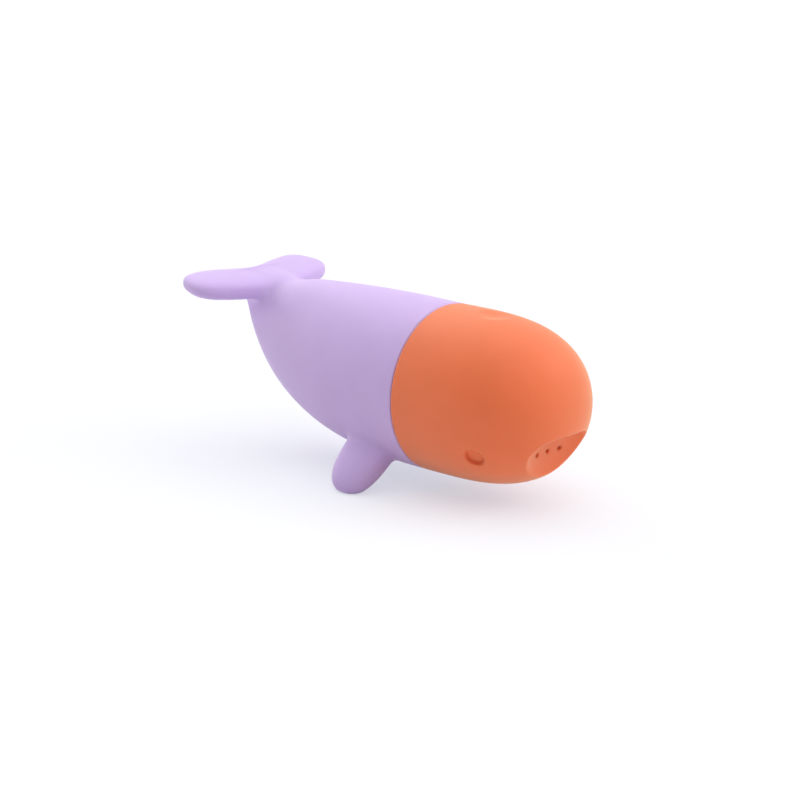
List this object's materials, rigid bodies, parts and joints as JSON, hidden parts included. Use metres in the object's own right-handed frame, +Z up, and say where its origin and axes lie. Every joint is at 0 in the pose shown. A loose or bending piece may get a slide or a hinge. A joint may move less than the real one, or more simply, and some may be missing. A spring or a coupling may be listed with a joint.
{
  "type": "whale bath toy",
  "caption": "Soft whale bath toy in two hollow halves that push together over a collar; the head has a scooped mouth with spray jets, and the tail stands on paddle fins.",
  "frame": {"origin": "on the surface that the toy stands on, under the middle of its box", "axes": "+X along the body towards the head, +Y to the whale's left, +Z up"},
  "size_m": [0.204, 0.086, 0.082],
  "materials": {
    "lavender_silicone": "soft matte",
    "orange_silicone": "soft matte",
    "collar_plastic": "satin",
    "seal_rubber": "matte"
  },
  "bodies": {
    "tail": {"tail_shell": "lavender_silicone", "coupling_collar": "collar_plastic"},
    "seal": {"seal_ring": "seal_rubber"},
    "head": {"head_shell": "orange_silicone"}
  },
  "joints": [
    {"name": "head_turn", "type": "hinge", "parent": "tail", "child": "seal", "pos_m": [0.03305, 0, 0.0442], "axis": [1, 0, 0], "continuous": true},
    {"name": "head_pull", "type": "slide", "parent": "seal", "child": "head", "axis": [1, 0, 0], "range_m": [0, 0.09]}
  ]
}
